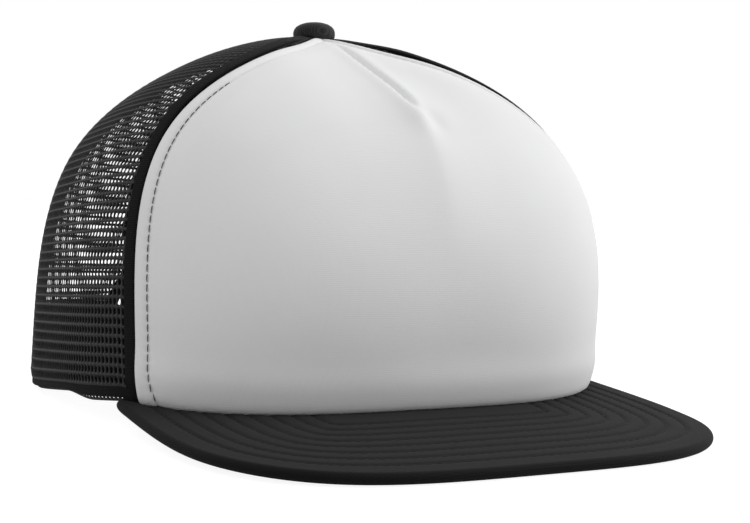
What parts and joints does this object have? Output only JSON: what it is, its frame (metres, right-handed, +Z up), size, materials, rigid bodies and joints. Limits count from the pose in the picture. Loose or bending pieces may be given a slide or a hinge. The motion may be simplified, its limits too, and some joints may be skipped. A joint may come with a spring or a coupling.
{
  "type": "trucker mesh cap",
  "caption": "Foam-fronted cap with net sides and back, a flat bill, a covered top button and an adjustable snap strap across the back opening.",
  "frame": {"origin": "centre of the cap's bounding box at table level, with the cap standing on its bill and the back of its crown", "axes": "-Y towards the bill, +X towards the wearer's left, +Z up"},
  "size_m": [0.1992, 0.2592, 0.1395],
  "materials": {
    "front_cloth": "matte",
    "foam": "matte",
    "net": "matte",
    "tape": "matte",
    "sweatband": "matte",
    "label": "matte",
    "bill_cloth": "matte",
    "board": "matte",
    "strap": "satin",
    "steel": "satin"
  },
  "bodies": {
    "crown": {"front_panel": "front_cloth", "front_foam": "foam", "side_mesh_left": "net", "side_mesh_right": "net", "back_mesh_left": "net", "back_mesh_right": "net", "front_seam_tape_left": "tape", "front_seam_tape_right": "tape", "side_seam_tape_left": "tape", "side_seam_tape_right": "tape", "back_seam_tape": "tape", "sweatband": "sweatband", "blank_label": "label", "opening_binding": "tape", "bill_top_fabric": "bill_cloth", "bill_board": "board", "bill_under_fabric": "bill_cloth", "button_cover": "bill_cloth", "button_shell": "steel", "button_rivet": "steel", "button_washer": "steel", "hole_strap_tab": "strap", "peg_strap_tab": "strap"},
    "outer_strap": {"hole_strap": "strap"},
    "inner_strap": {"peg_strap": "strap"}
  },
  "joints": [
    {"name": "outer_strap_swing", "type": "hinge", "parent": "crown", "child": "outer_strap", "pos_m": [0.0415, 0.12302, 0.0115], "axis": [0, -0.0706, -0.9975], "range_deg": [0, 55], "stiffness_Nm_per_rad": 0.01},
    {"name": "inner_strap_swing", "type": "hinge", "parent": "crown", "child": "inner_strap", "pos_m": [-0.0415, 0.12302, 0.0115], "axis": [0, -0.0706, -0.9975], "range_deg": [0, 40], "stiffness_Nm_per_rad": 0.01}
  ]
}
